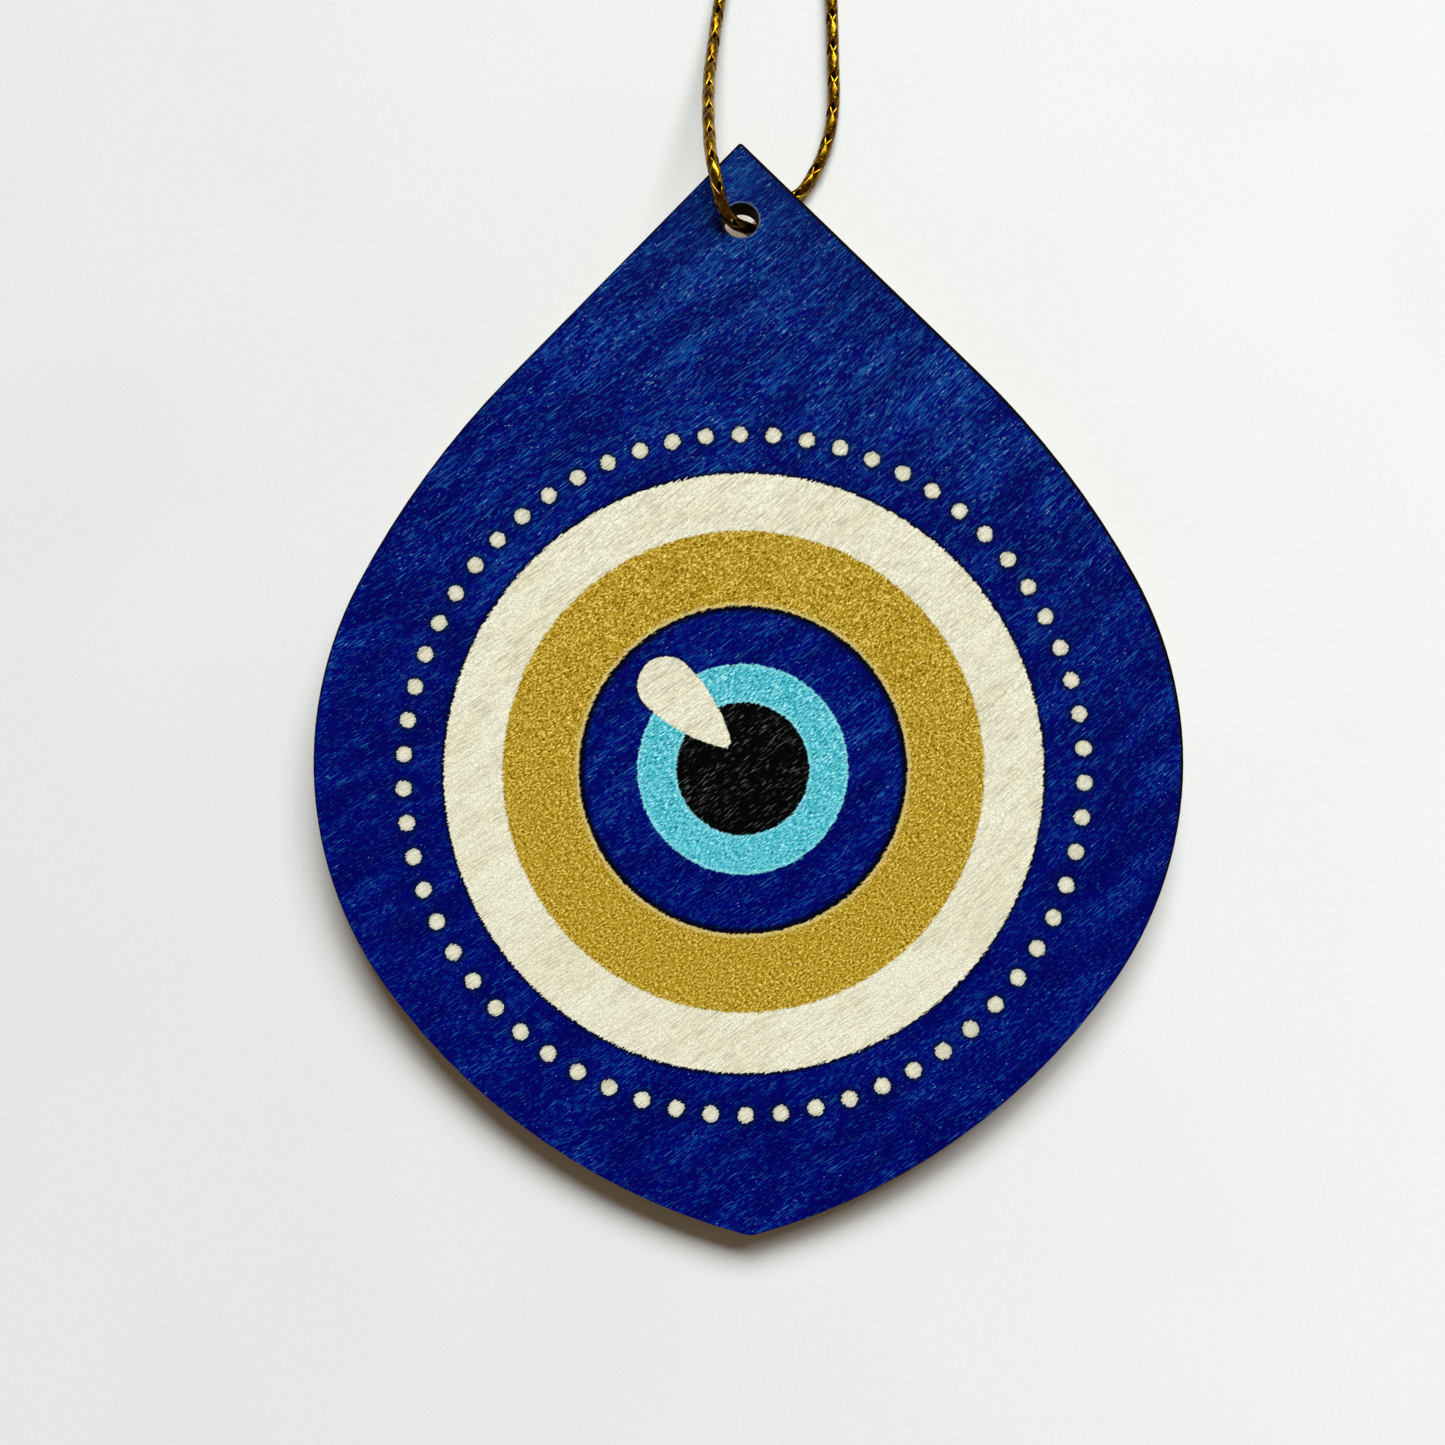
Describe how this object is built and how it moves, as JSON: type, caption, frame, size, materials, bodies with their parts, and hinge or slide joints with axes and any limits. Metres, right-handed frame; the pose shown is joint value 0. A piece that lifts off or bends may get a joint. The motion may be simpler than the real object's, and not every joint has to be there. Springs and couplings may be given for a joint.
{
  "type": "evil eye ornament",
  "caption": "Drop-shaped plywood plaque printed with a blue, ivory and gold eye, hung by its point from a thin gold cord that is knotted into a loop.",
  "frame": {"origin": "On the surface that the plaque lies on, under the middle of the plaque; the cord isn't counted.", "axes": "+Z comes up out of the printed face, +Y runs towards the plaque's point and its hanging hole, and +X is to the right of the print."},
  "size_m": [0.0726, 0.1685, 0.0078],
  "materials": {
    "back_veneer": "bare pale veneer with a smoky laser-cut edge",
    "core_veneer": "cross-grained core, its cut edge browned by the laser",
    "face_veneer": "bare pale veneer under the ink",
    "blue_ink": "flat ink printed over grain, with light flecks",
    "ivory_dot_ink": "flat ivory ink",
    "ivory_ink": "flat ivory ink with fine grain lines",
    "gold_ink": "flat ochre-gold ink with grain",
    "navy_ink": "flat dark blue ink",
    "turquoise_ink": "flat turquoise ink, mottled",
    "black_ink": "flat black ink with grey flecks",
    "highlight_ink": "flat ivory-white ink",
    "gold_cord": "braided metallic thread",
    "gold_knot": "braided metallic thread, tied"
  },
  "bodies": {
    "plaque": {"back_ply": "back_veneer", "core_ply": "core_veneer", "face_ply": "face_veneer", "blue_ground": "blue_ink", "ivory_dots": "ivory_dot_ink", "ivory_ring": "ivory_ink", "gold_ring": "gold_ink", "iris": "navy_ink", "turquoise_ring": "turquoise_ink", "pupil": "black_ink", "highlight": "highlight_ink"},
    "hang_loop": {"hang_cord": "gold_cord", "cord_knot": "gold_knot"}
  },
  "joints": [
    {"name": "loop_swing", "type": "hinge", "parent": "plaque", "child": "hang_loop", "pos_m": [0, 0.0391, 0.0043], "axis": [0, 0, 1], "range_deg": [-40, 40]}
  ]
}
